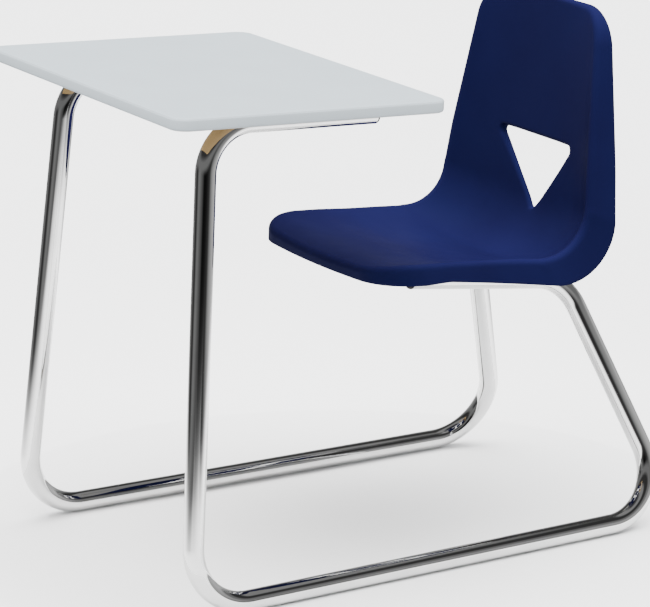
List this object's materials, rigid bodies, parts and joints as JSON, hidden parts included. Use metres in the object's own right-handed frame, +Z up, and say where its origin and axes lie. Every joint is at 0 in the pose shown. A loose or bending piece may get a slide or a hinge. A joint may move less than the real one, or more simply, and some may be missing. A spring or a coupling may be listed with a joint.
{
  "type": "student desk chair",
  "caption": "One-piece school desk and chair: moulded seat shell and flat writing top carried on a pair of bent chrome sled tubes.",
  "frame": {"origin": "on the floor, under the middle of the bounding box", "axes": "+Z up; +Y toward the seat's back and -Y toward the far edge of the writing top, which the student faces; +X toward the student's left"},
  "size_m": [0.6096, 0.8953, 0.8165],
  "materials": {
    "chrome_steel": "polished chrome plate on steel tube and flat bar",
    "zinc_steel": "bright zinc plate",
    "black_plastic": "satin moulded polyethylene",
    "grey_top": "matt hard plastic, one pale grey all over",
    "navy_plastic": "satin moulded polypropylene, navy"
  },
  "bodies": {
    "root": {"left_sled_tube": "chrome_steel", "right_sled_tube": "chrome_steel", "front_desk_crossbar": "chrome_steel", "rear_desk_crossbar": "chrome_steel", "front_seat_crossbar": "chrome_steel", "rear_seat_crossbar": "chrome_steel", "desk_crossbar_welds": "chrome_steel", "seat_crossbar_welds": "chrome_steel", "desk_screws": "zinc_steel", "desk_screw_washers": "zinc_steel", "seat_screws": "zinc_steel", "seat_screw_washers": "zinc_steel", "left_arm_end_plug": "black_plastic", "right_arm_end_plug": "black_plastic", "left_rail_end_plug": "black_plastic", "right_rail_end_plug": "black_plastic", "desk_top": "grey_top", "seat_shell": "navy_plastic"}
  },
  "joints": []
}
